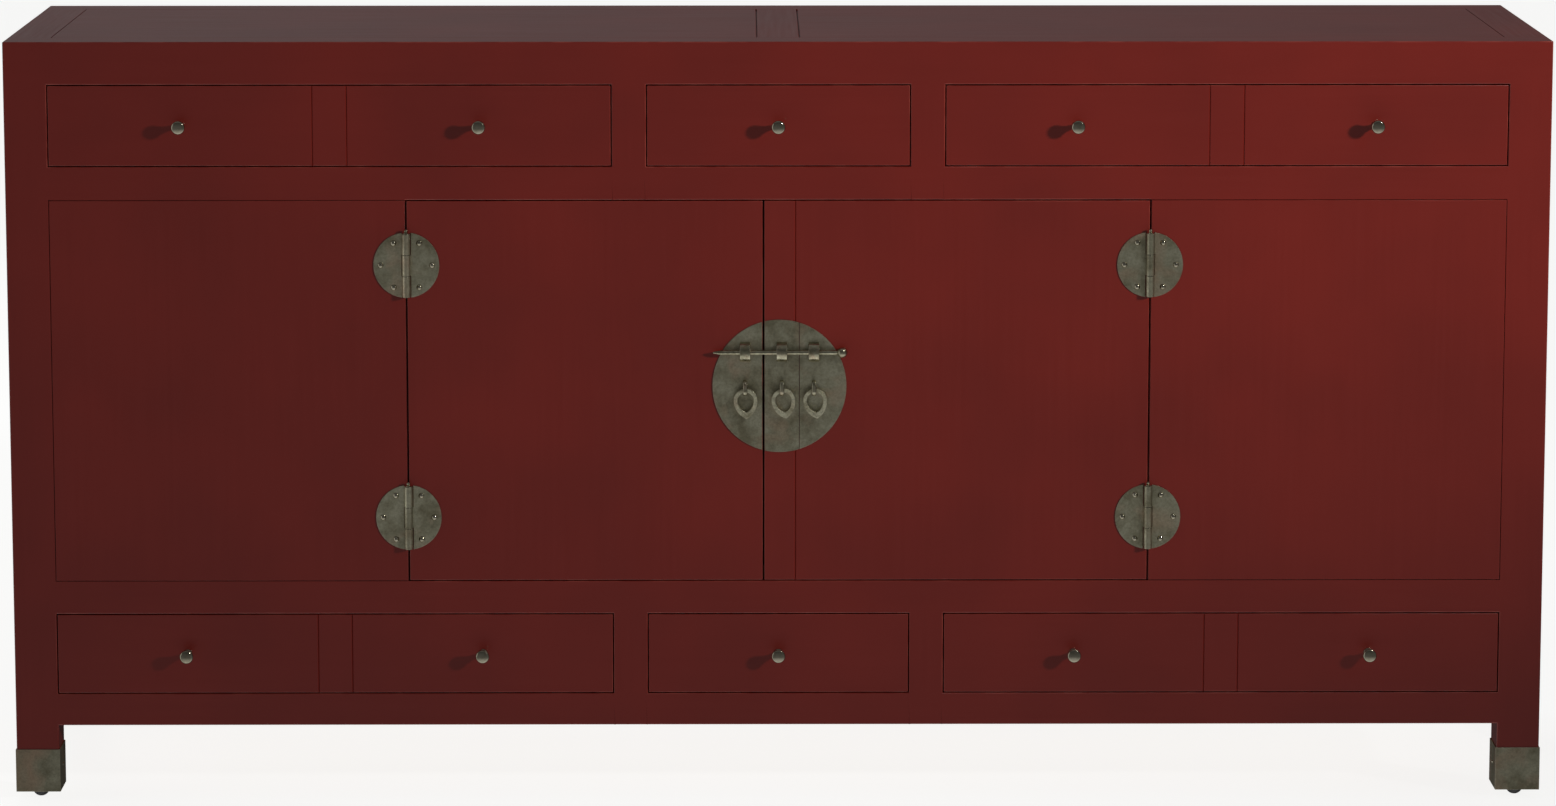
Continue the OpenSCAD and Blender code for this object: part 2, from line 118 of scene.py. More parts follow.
class SIDEBOARD_PG_edges(bpy.types.PropertyGroup):
    """How far the edges of each kind of piece are eased"""

    frame: length("Frame arris", "Rounding of the legs, rails and posts", 1.1)
    joint: length("Flush joint", "Width of the joint round a panel that lies flush in the frame", 0.8)
    panel: length("Panel edge", "Rounding of the panels' rims", 0.35)
    front: length("Door and drawer edge", "Rounding round the doors and drawer fronts", 0.7)
    board: length("Inside board edge", "Rounding of the unlacquered boards inside", 0.7)
    plate: length("Plate edge", "Rounding of the sheet-metal plates", 0.35)
    pull: length("Pull edge", "Rounding of the cast pulls", 0.55)
    strap: length("Staple strap", "Thickness of the bent strap of a staple", 2.4)
    turns: IntProperty(
        name="Steps in a turned piece", description="Sides of knobs, bolt, nails and pins", default=32, min=12
    )


class SIDEBOARD_PG_finishes(bpy.types.PropertyGroup):
    """The colours of the finishes"""

    lacquer: colour("Lacquer", "The red of the lacquer", "#7b2017")
    lacquer_deep: colour("Deep lacquer", "The darker red where the coat is thick", "#711d15")
    # Lighter and pinker than the lacquer: rubbed wear on the eased arrises, and also a painted highlight
    # along them.
    lacquer_rubbed_and_highlit: colour("Rubbed lacquer", "The lacquer along rubbed edges", "#954035")
    patina: colour("Patina", "The grey-green skin on the plates", "#aeab94")
    patina_dark: colour("Dark patina", "The darker patches of the patina", "#827d67")
    patina_brown: colour("Brown patina", "The brownish bloom in the patina", "#b39e86")
    bright: colour("Bright metal", "Metal rubbed bright by hands", "#a39d8b")
    wood: colour("Bare wood", "The unlacquered boards inside", "#b08456")
    wood_dark: colour("Late wood", "The darker lines of the grain", "#8d6238")
    glide: colour("Glide", "The moulded glides under the shoes", "#161616")


class SIDEBOARD_PG_studio(bpy.types.PropertyGroup):
    """Light and floor"""

    key: power("Key lamp", "Power of the lamp at the right", 780.0)
    glint: power("Glint lamp", "Power of the lamp that only the metal's glints show", 234.0)
    back: power("Back lamp", "Power of the lamp behind", 300.0)
    room: FloatProperty(name="Room", description="Strength of the room's dim light", default=1.0, min=0.0)
    floor: colour("Floor", "The plain pale floor", "#f4f4f3")


# ---- Materials ----


def add_node(tree, kind, inputs=(), **settings):
    """Add a node; inputs are pairs of a socket and the value or the output socket it takes."""
    node = tree.nodes.new(kind)
    for name, value in settings.items():
        setattr(node, name, value)
    for socket, value in inputs:
        if isinstance(value, bpy.types.NodeSocket):
            tree.links.new(value, node.inputs[socket])
        else:
            node.inputs[socket].default_value = value
    return node


def per_metre(mm):
    """The scale of a pattern whose features are this many millimetres apart."""
    return 1 / (mm * MM)


def new_material(name, principled):
    """A material with its Principled shader, whose own sockets take the plain values."""
    material = bpy.data.materials.new(name)
    material.use_nodes = True
    shader = material.node_tree.nodes["Principled BSDF"]
    for socket, value in principled.items():
        shader.inputs[socket].default_value = value
    return material, material.node_tree, shader


def lacquer(name, along):
    """Red lacquer over a filled wood ground, brushed on in thin coats and rubbed to satin.

    It gives an even, deep red with a soft sheen; the coats lie a little thicker in clouds a hand
    wide, the brush leaves faint streaks along the board, and the arrises are rubbed thin to a
    lighter, pinker red, which is also a painted highlight along them.
    """
    finish = bpy.context.scene.sideboard_finishes
    material, tree, shader = new_material(name, {"IOR": 1.5, "Metallic": 0.0})
    place = add_node(tree, "ShaderNodeTexCoord").outputs["Object"]
    clouds = add_node(
        tree, "ShaderNodeTexNoise", [("Vector", place), ("Scale", per_metre(180)), ("Detail", 3.0)]
    ).outputs["Fac"]
    # Streaks of a flat brush, 5 mm apart and some 200 mm long.
    stretch = [1.0, 1.0, 1.0]
    stretch[along] = 5 / 200
    brushed = add_node(tree, "ShaderNodeMapping", [("Vector", place), ("Scale", stretch)])
    streaks = add_node(
        tree,
        "ShaderNodeTexNoise",
        [("Vector", brushed.outputs["Vector"]), ("Scale", per_metre(5)), ("Detail", 4.0), ("Roughness", 0.6)],
    ).outputs["Fac"]
    depth = add_node(
        tree,
        "ShaderNodeMapRange",
        [("Value", clouds), ("From Min", 0.3), ("From Max", 0.7)],
    ).outputs["Result"]
    shade = add_node(
        tree,
        "ShaderNodeMix",
        [(0, depth), (6, tuple(finish.lacquer_deep)), (7, tuple(finish.lacquer))],
        data_type="RGBA",
    ).outputs[2]
    streaky = add_node(
        tree,
        "ShaderNodeMapRange",
        [("Value", streaks), ("From Min", 0.25), ("From Max", 0.75), ("To Min", 0.985), ("To Max", 1.015)],
    ).outputs["Result"]
    brushed_red = add_node(
        tree, "ShaderNodeHueSaturation", [("Color", shade), ("Value", streaky)]
    ).outputs["Color"]
    # The eased arrises are rubbed thin in patches about 25 mm long; the lighter, pinker colour laid on them
    # is partly this wear and partly a painted highlight along every arris.
    patches = add_node(
        tree, "ShaderNodeTexNoise", [("Vector", place), ("Scale", per_metre(25)), ("Detail", 4.0)]
    ).outputs["Fac"]
    thin = add_node(
        tree,
        "ShaderNodeMapRange",
        [("Value", patches), ("From Min", 0.42), ("From Max", 0.66), ("To Min", 0.08), ("To Max", 0.75)],
    ).outputs["Result"]
    rubbed = add_node(tree, "ShaderNodeAttribute", attribute_name="rubbed").outputs["Fac"]
    rubbed_and_highlit = add_node(tree, "ShaderNodeMath", [(0, thin), (1, rubbed)], operation="MULTIPLY").outputs[0]
    # Mixes toward the lighter rubbed colour on the arrises, which is partly wear and partly a painted
    # highlight.
    coat = add_node(
        tree,
        "ShaderNodeMix",
        [(0, rubbed_and_highlit), (6, brushed_red), (7, tuple(finish.lacquer_rubbed_and_highlit))],
        data_type="RGBA",
    )
    tree.links.new(coat.outputs[2], shader.inputs["Base Color"])
    gloss = add_node(
        tree,
        "ShaderNodeMapRange",
        [("Value", streaks), ("From Min", 0.2), ("From Max", 0.8), ("To Min", 0.30), ("To Max", 0.40)],
    ).outputs["Result"]
    tree.links.new(gloss, shader.inputs["Roughness"])
    # Orange peel 4 mm apart over the streaks, both only hundredths of a millimetre deep.
    peel = add_node(
        tree, "ShaderNodeTexNoise", [("Vector", place), ("Scale", per_metre(4)), ("Detail", 2.0)]
    ).outputs["Fac"]
    fine = add_node(
        tree, "ShaderNodeBump", [("Strength", 0.35), ("Distance", 0.03 * MM), ("Height", peel)]
    ).outputs["Normal"]
    relief = add_node(
        tree,
        "ShaderNodeBump",
        [("Strength", 0.25), ("Distance", 0.02 * MM), ("Height", streaks), ("Normal", fine)],
    )
    tree.links.new(relief.outputs["Normal"], shader.inputs["Normal"])
    return material


def aged_metal(name, patch_mm, rough, lift, brown=0.7):
    """Copper-nickel alloy, hammered to sheet or cast, waxed and left to dull for years.

    It gives a soft grey-green skin with brown and dark patches, darker pits, and brighter metal
    along the edges that hands and cloths reach. The patches are patch_mm wide, lift is how bright
    the skin is, and brown is how much of the brown bloom it has.
    """
    finish = bpy.context.scene.sideboard_finishes
    material, tree, shader = new_material(name, {"Metallic": 1.0})
    place = add_node(tree, "ShaderNodeTexCoord").outputs["Object"]
    patches = add_node(
        tree,
        "ShaderNodeTexNoise",
        [("Vector", place), ("Scale", per_metre(patch_mm)), ("Detail", 6.0), ("Roughness", 0.62)],
    ).outputs["Fac"]
    blooms = add_node(
        tree,
        "ShaderNodeTexNoise",
        [("Vector", place), ("Scale", per_metre(patch_mm * 1.7)), ("Detail", 3.0), ("Distortion", 0.8)],
    ).outputs["Color"]
    bloom = add_node(tree, "ShaderNodeSeparateColor", [("Color", blooms)]).outputs["Green"]
    spread = add_node(
        tree,
        "ShaderNodeMapRange",
        [("Value", patches), ("From Min", 0.36), ("From Max", 0.62)],
    ).outputs["Result"]
    skin = add_node(
        tree,
        "ShaderNodeMix",
        [(0, spread), (6, tuple(finish.patina_dark)), (7, tuple(finish.patina))],
        data_type="RGBA",
    ).outputs[2]
    browned = add_node(
        tree,
        "ShaderNodeMapRange",
        [("Value", bloom), ("From Min", 0.62 - brown / 6), ("From Max", 0.72), ("To Max", brown)],
    ).outputs["Result"]
    mottled = add_node(
        tree,
        "ShaderNodeMix",
        [(0, browned), (6, skin), (7, tuple(finish.patina_brown))],
        data_type="RGBA",
    ).outputs[2]
    # Pits and specks, drawn 3 mm apart because the real ones are too fine to show.
    specks = add_node(
        tree,
        "ShaderNodeTexNoise",
        [("Vector", place), ("Scale", per_metre(3)), ("Detail", 3.0), ("Roughness", 0.7)],
    ).outputs["Fac"]
    speckled = add_node(
        tree,
        "ShaderNodeMapRange",
        [
            ("Value", specks), ("From Min", 0.3), ("From Max", 0.6),
            ("To Min", 0.78 * lift), ("To Max", 1.06 * lift),
        ],
    ).outputs["Result"]
    toned = add_node(
        tree, "ShaderNodeHueSaturation", [("Color", mottled), ("Value", speckled)]
    ).outputs["Color"]
    rubbed = add_node(tree, "ShaderNodeAttribute", attribute_name="rubbed").outputs["Fac"]
    polished = add_node(tree, "ShaderNodeMath", [(0, rubbed), (1, 0.55)], operation="MULTIPLY").outputs[0]
    edged = add_node(
        tree, "ShaderNodeMix", [(0, polished), (6, toned), (7, tuple(finish.bright))], data_type="RGBA"
    )
    tree.links.new(edged.outputs[2], shader.inputs["Base Color"])
    dull = add_node(
        tree,
        "ShaderNodeMapRange",
        [
            ("Value", patches), ("From Min", 0.3), ("From Max", 0.7),
            ("To Min", rough + 0.1), ("To Max", rough - 0.06),
        ],
    ).outputs["Result"]
    tree.links.new(dull, shader.inputs["Roughness"])
    pitted = add_node(
        tree, "ShaderNodeBump", [("Strength", 0.5), ("Distance", 0.06 * MM), ("Height", specks)]
    ).outputs["Normal"]
    # Hammer marks a thumb wide.
    dents = add_node(
        tree, "ShaderNodeTexNoise", [("Vector", place), ("Scale", per_metre(16)), ("Detail", 1.0)]
    ).outputs["Fac"]
    beaten = add_node(
        tree,
        "ShaderNodeBump",
        [("Strength", 0.6), ("Distance", 0.5 * MM), ("Height", dents), ("Normal", pitted)],
    )
    tree.links.new(beaten.outputs["Normal"], shader.inputs["Normal"])
    return material


def bright_metal():
    """The same alloy turned or domed and rubbed bright by use: clear reflections, hair scratches."""
    finish = bpy.context.scene.sideboard_finishes
    material, tree, shader = new_material("Bright_paktong_hand_rubbed", {"Metallic": 1.0})
    place = add_node(tree, "ShaderNodeTexCoord").outputs["Object"]
    tarnish = add_node(
        tree, "ShaderNodeTexNoise", [("Vector", place), ("Scale", per_metre(6)), ("Detail", 4.0)]
    ).outputs["Fac"]
    amount = add_node(
        tree,
        "ShaderNodeMapRange",
        [("Value", tarnish), ("From Min", 0.45), ("From Max", 0.7), ("To Max", 0.6)],
    ).outputs["Result"]
    tone = add_node(
        tree,
        "ShaderNodeMix",
        [(0, amount), (6, tuple(finish.bright)), (7, tuple(finish.patina_dark))],
        data_type="RGBA",
    )
    tree.links.new(tone.outputs[2], shader.inputs["Base Color"])
    gloss = add_node(
        tree,
        "ShaderNodeMapRange",
        [("Value", tarnish), ("From Min", 0.3), ("From Max", 0.7), ("To Min", 0.1), ("To Max", 0.18)],
    ).outputs["Result"]
    tree.links.new(gloss, shader.inputs["Roughness"])
    return material


def bare_wood(name, along):
    """Planed softwood, unfinished and gone brown: lines of late wood, a dry matte face."""
    finish = bpy.context.scene.sideboard_finishes
    material, tree, shader = new_material(name, {"IOR": 1.45, "Metallic": 0.0})
    place = add_node(tree, "ShaderNodeTexCoord").outputs["Object"]
    # Growth lines about 6 mm apart, drawn out along the board.
    stretch = [1.0, 1.0, 1.0]
    stretch[along] = 0.05
    laid = add_node(tree, "ShaderNodeMapping", [("Vector", place), ("Scale", stretch)]).outputs["Vector"]
    wander = add_node(
        tree, "ShaderNodeTexNoise", [("Vector", laid), ("Scale", per_metre(60)), ("Detail", 2.0)]
    ).outputs["Color"]
    bent = add_node(
        tree,
        "ShaderNodeMix",
        [(0, 0.02), (4, laid), (5, wander)],
        data_type="VECTOR",
    ).outputs[1]
    grain = add_node(
        tree,
        "ShaderNodeTexNoise",
        [("Vector", bent), ("Scale", per_metre(6)), ("Detail", 5.0), ("Roughness", 0.55)],
    ).outputs["Fac"]
    lines = add_node(
        tree,
        "ShaderNodeMapRange",
        [("Value", grain), ("From Min", 0.35), ("From Max", 0.65)],
    ).outputs["Result"]
    tone = add_node(
        tree,
        "ShaderNodeMix",
        [(0, lines), (6, tuple(finish.wood_dark)), (7, tuple(finish.wood))],
        data_type="RGBA",
    )
    tree.links.new(tone.outputs[2], shader.inputs["Base Color"])
    dry = add_node(
        tree,
        "ShaderNodeMapRange",
        [("Value", grain), ("From Min", 0.3), ("From Max", 0.7), ("To Min", 0.72), ("To Max", 0.6)],
    ).outputs["Result"]
    tree.links.new(dry, shader.inputs["Roughness"])
    raised = add_node(
        tree, "ShaderNodeBump", [("Strength", 0.5), ("Distance", 0.12 * MM), ("Height", grain)]
    )
    tree.links.new(raised.outputs["Normal"], shader.inputs["Normal"])
    return material


def moulded_glide():
    """Black moulded nylon, scuffed dull where it meets the floor."""
    finish = bpy.context.scene.sideboard_finishes
    material, tree, shader = new_material("Black_moulded_nylon", {"IOR": 1.53, "Metallic": 0.0})
    place = add_node(tree, "ShaderNodeTexCoord").outputs["Object"]
    scuffs = add_node(
        tree, "ShaderNodeTexNoise", [("Vector", place), ("Scale", per_metre(2)), ("Detail", 4.0)]
    ).outputs["Fac"]
    tone = add_node(
        tree,
        "ShaderNodeMix",
        [(0, scuffs), (6, tuple(finish.glide)), (7, linear("#242321"))],
        data_type="RGBA",
    )
    tree.links.new(tone.outputs[2], shader.inputs["Base Color"])
    dull = add_node(
        tree,
        "ShaderNodeMapRange",
        [("Value", scuffs), ("From Min", 0.3), ("From Max", 0.7), ("To Min", 0.35), ("To Max", 0.6)],
    ).outputs["Result"]
    tree.links.new(dull, shader.inputs["Roughness"])
    return material


MATERIALS = {}


def finishes():
    """Make every finish once."""
    MATERIALS["long"] = lacquer("Red_lacquer_brushed_lengthwise", along=X)
    MATERIALS["cross"] = lacquer("Red_lacquer_brushed_across", along=Y)
    MATERIALS["upright"] = lacquer("Red_lacquer_brushed_upright", along=Z)
    MATERIALS["plate"] = aged_metal("Aged_paktong_sheet", patch_mm=26, rough=0.46, lift=1.18)
    MATERIALS["fitting"] = aged_metal("Aged_paktong_bar", patch_mm=9, rough=0.22, lift=1.15)
    MATERIALS["pull"] = aged_metal("Cast_paktong_half_bright", patch_mm=12, rough=0.38, lift=2.2, brown=0.3)
    MATERIALS["shoe"] = aged_metal("Aged_paktong_shoe_sheet", patch_mm=30, rough=0.5, lift=0.85, brown=1.0)
    MATERIALS["bright"] = bright_metal()
    MATERIALS["wood_long"] = bare_wood("Bare_softwood_lengthwise", along=X)
    MATERIALS["wood_deep"] = bare_wood("Bare_softwood_front_to_back", along=Y)
    MATERIALS["glide"] = moulded_glide()


# ---- Modelling ----


def copy_of(node):
    """A welded copy of a CAD node's mesh, with its flat faces joined up."""
    bm = bmesh.new()
    bm.from_mesh(frame["nodes"][node].data)
    bmesh.ops.remove_doubles(bm, verts=bm.verts, dist=0.002 * MM)
    bmesh.ops.dissolve_limit(bm, angle_limit=math.radians(0.5), verts=bm.verts, edges=bm.edges)
    bm.faces.layers.float.new("rubbed")
    bm.normal_update()
    return bm


def solids_of(bm):
    """The vertices of each separate solid."""
    for vert in bm.verts:
        vert.tag = False
    solids = []
    for start in bm.verts:
        if start.tag:
            continue
        start.tag = True
        solid, waiting = [start], [start]
        while waiting:
            for edge in waiting.pop().link_edges:
                for vert in edge.verts:
                    if not vert.tag:
                        vert.tag = True
                        solid.append(vert)
                        waiting.append(vert)
        solids.append(solid)
    return solids


def span(verts):
    """Lowest and highest corner of some vertices."""
    points = [v.co for v in verts]
    low = Vector(min(p[i] for p in points) for i in range(3))
    high = Vector(max(p[i] for p in points) for i in range(3))
    return low, high


def spans_of(node):
    """The box of each separate solid of a CAD node."""
    bm = copy_of(node)
    boxes = [span(solid) for solid in solids_of(bm)]
    bm.free()
    return boxes


def ease(bm, edges, width, segments=3):
    """Round off some edges, and mark the narrow new faces as rubbed: the finishes give them a worn colour,
    which on the lacquer is also a painted highlight.
    """
    rubbed = bm.faces.layers.float["rubbed"]
    made = bmesh.ops.bevel(
        bm,
        geom=edges,
        offset=width,
        offset_type="OFFSET",
        segments=segments,
        profile=0.5,
        affect="EDGES",
        clamp_overlap=False,
        material=-1,
    )
    for face in made["faces"]:
        face[rubbed] = 1.0


def box_edges(bm):
    """The edges that lie along the edges of their own solid's box."""
    found = []
    for solid in solids_of(bm):
        low, high = span(solid)
        for edge in {e: None for v in solid for e in v.link_edges}:
            a, b = (v.co for v in edge.verts)
            held = sum(
                abs(a[i] - b[i]) < SAME and min(abs(a[i] - low[i]), abs(a[i] - high[i])) < SAME
                for i in range(3)
            )
            if held >= 2 and edge.is_convex:
                found.append(edge)
    return found


def sharp_edges(bm, degrees=60.0):
    """The convex edges that turn by at least this angle."""
    return [e for e in bm.edges if e.is_convex and e.calc_face_angle(0.0) > math.radians(degrees)]


def finish_piece(bm, nodes, surfaces, sharp=40.0, planed=False):
    """Make the piece that stands for some CAD nodes, and let it ride on their body.

    On a planed piece only the eased edges turn the light, and every other face is flat.
    """
    bm.normal_update()
    rubbed = bm.faces.layers.float["rubbed"]
    for face in bm.faces:
        face.smooth = face[rubbed] > 0.5 or not planed
    for edge in bm.edges:
        edge.smooth = edge.calc_face_angle(0.0) < math.radians(sharp)
    name = nodes[0] + "_finished"
    mesh = bpy.data.meshes.new(name)
    bm.to_mesh(mesh)
    bm.free()
    if "custom_normal" in mesh.attributes:
        mesh.attributes.remove(mesh.attributes["custom_normal"])
    for surface in surfaces:
        mesh.materials.append(MATERIALS[surface])
    piece = bpy.data.objects.new(name, mesh)
    bpy.context.scene.collection.objects.link(piece)
    if not planed:
        # The large faces of sheet metal stay even, and its rims turn the light.
        even = piece.modifiers.new("Even shading", "WEIGHTED_NORMAL")
        even.keep_sharp = True
        even.weight = 100
    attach(piece, BODY_OF[nodes[0]])
    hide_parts(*nodes)
    return piece


def inside_any(point, boxes):
    """Whether a point lies in one of these boxes."""
    return any(all(low[i] < point[i] < high[i] for i in range(3)) for low, high in boxes)


def cut(bm, point, normal):
    """Add edges where a plane crosses the shape."""
    everything = bm.verts[:] + bm.edges[:] + bm.faces[:]
    bmesh.ops.bisect_plane(bm, geom=everything, dist=SAME, plane_co=point, plane_no=normal)


def frame_board(node, boxes, surface, width):
    """A lacquered member: its free arrises are eased, and where others meet it, it stays square."""
    bm = copy_of(node)
    low, high = span(bm.verts)
    others = [box for name, found in boxes.items() if name != node for box in found]
    for near_low, near_high in others:
        if not all(near_low[i] < high[i] + TOUCHING and near_high[i] > low[i] - TOUCHING for i in range(3)):
            continue
        for axis in range(3):
            for value in (near_low[axis], near_high[axis]):
                if low[axis] + 0.5 * MM < value < high[axis] - 0.5 * MM:
                    normal = Vector((0, 0, 0))
                    normal[axis] = 1.0
                    cut(bm, normal * value, normal)
    bm.normal_update()
    free = []
    for edge in bm.edges:
        if len(edge.link_faces) != 2 or not edge.is_convex or edge.calc_face_angle(0.0) < math.radians(80):
            continue
        first, second = (face.normal for face in edge.link_faces)
        middle = (edge.verts[0].co + edge.verts[1].co) / 2
        beside = [middle + way * 0.25 * MM for way in (first - second, second - first, first + second)]
        if edge.calc_length() > 3 * width and not any(inside_any(p, others) for p in beside):
            free.append(edge)
    ease(bm, free, width)
    finish_piece(bm, [node], [surface], planed=True)


def flush_panel(node, surface, width, joint):
    """A panel let in flush: a narrow groove is left round it, which reads as a fine dark line."""
    bm = copy_of(node)
    shown = Vector((0, 0, 1)) if node.startswith("top_") else Vector((0, -1, 0))
    face_at = max(v.co.dot(shown) for v in bm.verts)
    if node not in OTHER_PANELS:
        for depth in (3 * joint, 3.4 * joint):
            cut(bm, shown * (face_at - depth), shown)
        standing = [v for v in bm.verts if v.co.dot(shown) > face_at - 3.2 * joint]
        low, high = span(standing)
        for vert in standing:
            for axis in range(3):
                if not shown[axis]:
                    outwards = math.copysign(1.0, vert.co[axis] - (low[axis] + high[axis]) / 2)
                    vert.co[axis] -= outwards * joint
        bm.normal_update()
    rim = [e for e in sharp_edges(bm) if all(v.co.dot(shown) > face_at - TOUCHING for v in e.verts)]
    ease(bm, rim, width)
    finish_piece(bm, [node], [surface], planed=True)


def turned(profile, steps, centre, axis):
    """Spin a profile of (radius, height) points about an axis through the centre."""
    bm = bmesh.new()
    bm.faces.layers.float.new("rubbed")
    verts = [bm.verts.new((radius, 0.0, height)) for radius, height in profile]
    edges = [bm.edges.new(pair) for pair in zip(verts, verts[1:])]
    bmesh.ops.spin(
        bm,
        geom=verts + edges,
        cent=(0, 0, 0),
        axis=(0, 0, 1),
        angle=math.tau,
        steps=steps,
        use_merge=True,
        use_duplicate=False,
    )
    bmesh.ops.remove_doubles(bm, verts=bm.verts, dist=0.001 * MM)
    bmesh.ops.recalc_face_normals(bm, faces=bm.faces)
    turn = Vector((0, 0, 1)).rotation_difference(Vector(axis)).to_matrix().to_4x4()
    bmesh.ops.transform(bm, matrix=Matrix.Translation(centre) @ turn, verts=bm.verts)
    return bm


def add_to(bm, other):
    """Move one bmesh's shape into another."""
    mesh = bpy.data.meshes.new("part")
    other.to_mesh(mesh)
    other.free()
    bm.from_mesh(mesh)
    bpy.data.meshes.remove(mesh)


def joined(parts):
    """The shapes of several bmeshes in the first of them."""
    for part in parts[1:]:
        add_to(parts[0], part)
    return parts[0]


def arc(centre, radius, start, end, steps):
    """Points on an arc, as (radius from the axis, height), angles in degrees."""
    angles = [math.radians(start + (end - start) * i / steps) for i in range(steps + 1)]
    return [(centre[0] + radius * math.cos(a), centre[1] + radius * math.sin(a)) for a in angles]


# ---- The operators ----


class SIDEBOARD_OT_frame(bpy.types.Operator):
    """Finish the legs, rails, posts and panels of the lacquered carcass"""

    bl_idname = "sideboard.frame"
    bl_label = "Lacquered carcass"

    def execute(self, context):
        edges = context.scene.sideboard_edges
        members = UPRIGHT_MEMBERS + LONG_MEMBERS + CROSS_MEMBERS + ["drawer_dividers"]
        panels = FLUSH_PANELS + OTHER_PANELS
        boxes = {name: spans_of(name) for name in members + panels + INSIDE_BOARDS + ["leg_shoes"]}
        for name in members + panels:
            if name in CROSS_MEMBERS:
                surface = "cross"
            elif name in LONG_MEMBERS or name.startswith("top_"):
                surface = "long"
            else:
                surface = "upright"
            if name in panels or name == "top_batten":
                flush_panel(name, surface, edges.panel, edges.joint)
            else:
                frame_board(name, boxes, surface, edges.frame)
        return {"FINISHED"}


class SIDEBOARD_OT_inside(bpy.types.Operator):
    """Finish the decks, guides, shelf and bearers inside the carcass"""

    bl_idname = "sideboard.inside"
    bl_label = "Inside boards"

    def execute(self, context):
        for name in INSIDE_BOARDS:
            bm = copy_of(name)
            ease(bm, box_edges(bm), context.scene.sideboard_edges.board, segments=2)
            surface = "wood_deep" if name == "drawer_guides" else "wood_long"
            finish_piece(bm, [name], [surface], planed=True)
        return {"FINISHED"}


class SIDEBOARD_OT_doors(bpy.types.Operator):
    """Finish the two doors"""

    bl_idname = "sideboard.doors"
    bl_label = "Doors"

    def execute(self, context):
        for name in ("left_door", "right_door"):
            bm = copy_of(name)
            ease(bm, box_edges(bm), context.scene.sideboard_edges.front)
            finish_piece(bm, [name], ["upright"], planed=True)
        return {"FINISHED"}


class SIDEBOARD_OT_drawers(bpy.types.Operator):
    """Finish the drawer fronts and the boxes behind them"""

    bl_idname = "sideboard.drawers"
    bl_label = "Drawers"

    def execute(self, context):
        edges = context.scene.sideboard_edges
        for drawer in DRAWERS:
            bm = copy_of(drawer + "_front")
            back_y = span(bm.verts)[1].y
            ease(bm, box_edges(bm), edges.front)
            # The back of a front is left bare.
            for face in bm.faces:
                if face.normal.y > FACING and face.calc_center_median().y > back_y - 0.1 * MM:
                    face.material_index = 1
            finish_piece(bm, [drawer + "_front"], ["long", "wood_long"], planed=True)
            bm = copy_of(drawer + "_box")
            ease(bm, box_edges(bm), edges.board, segments=2)
            # The grain of the box's back runs across the drawer.
            for face in bm.faces:
                if abs(face.normal.y) > FACING:
                    face.material_index = 1
            finish_piece(bm, [drawer + "_box"], ["wood_deep", "wood_long"], planed=True)
        return {"FINISHED"}


class SIDEBOARD_OT_knobs(bpy.types.Operator):
    """Turn the drawers' knobs"""

    bl_idname = "sideboard.knobs"
    bl_label = "Knobs"

    def execute(self, context):
        steps = context.scene.sideboard_edges.turns
        front_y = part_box("front_left_leg")[0].y
        for drawer in DRAWERS:
            node = drawer + ("_knob" if "middle" in drawer else "_knobs")
            knobs = []
            for low, high in spans_of(node):
                ball = (high.z - low.z) / 2
                out = front_y - low.y
                # A stud in the wood, a flange, a waisted neck, and a head with a flattish face.
                profile = [(0.0, -15 * MM), (2 * MM, -15 * MM), (2 * MM, 0.0), (5.1 * MM, 0.0)]
                profile += arc((4.6 * MM, 0.7 * MM), 0.65 * MM, -40, 90, 4)
                profile += [(3.9 * MM, 1.7 * MM), (3.2 * MM, 2.8 * MM), (2.9 * MM, 4.6 * MM)]
                profile += [(3 * MM, 7 * MM), (3.5 * MM, 9.6 * MM), (4.5 * MM, 12.2 * MM)]
                profile += [(5.8 * MM, 14.6 * MM)]
                rim, turn = 2.6 * MM, math.radians(70)
                face = (ball - rim + rim * math.cos(turn)) / math.cos(turn)
                head = out - rim * math.sin(turn) - face * (1 - math.sin(turn))
                profile += arc((ball - rim, head), rim, -50, 70, 12)
                profile += arc((0.0, out - face), face, 73, 90, 5)
                profile[-1] = (0.0, out)
                place = Vector(((low.x + high.x) / 2, front_y, (low.z + high.z) / 2))
                knobs.append(turned(profile, steps, place, (0, -1, 0)))
            finish_piece(joined(knobs), [node], ["bright"], sharp=50)
        return {"FINISHED"}


class SIDEBOARD_OT_hinges(bpy.types.Operator):
    """Finish the hinge leaves and turn their pins"""

    bl_idname = "sideboard.hinges"
    bl_label = "Hinges"

    def execute(self, context):
        edges = context.scene.sideboard_edges
        for name in ("fixed_hinge_leaves", "left_hinge_leaves", "right_hinge_leaves"):
            bm = copy_of(name)
            ease(bm, sharp_edges(bm), edges.plate, segments=2)
            finish_piece(bm, [name], ["plate"], sharp=35)
        pins = []
        for low, high in spans_of("hinge_pins"):
            middle = Vector(((low.x + high.x) / 2, (low.y + high.y) / 2, low.z))
            top = high.z - low.z
            # A plain rod with a turned collar and a small ball on top.
            profile = [(0.0, 0.0), (1.6 * MM, 0.0), (2 * MM, 0.4 * MM), (2 * MM, top - 5.2 * MM)]
            profile += [(2.8 * MM, top - 5.2 * MM), (2.8 * MM, top - 4.3 * MM), (1.4 * MM, top - 3.9 * MM)]
            profile += arc((0.0, top - 2.2 * MM), 2.2 * MM, -50, 90, 8)
            profile[-1] = (0.0, top)
            pins.append(turned(profile, edges.turns, middle, (0, 0, 1)))
        finish_piece(joined(pins), ["hinge_pins"], ["fitting"], sharp=50)
        return {"FINISHED"}


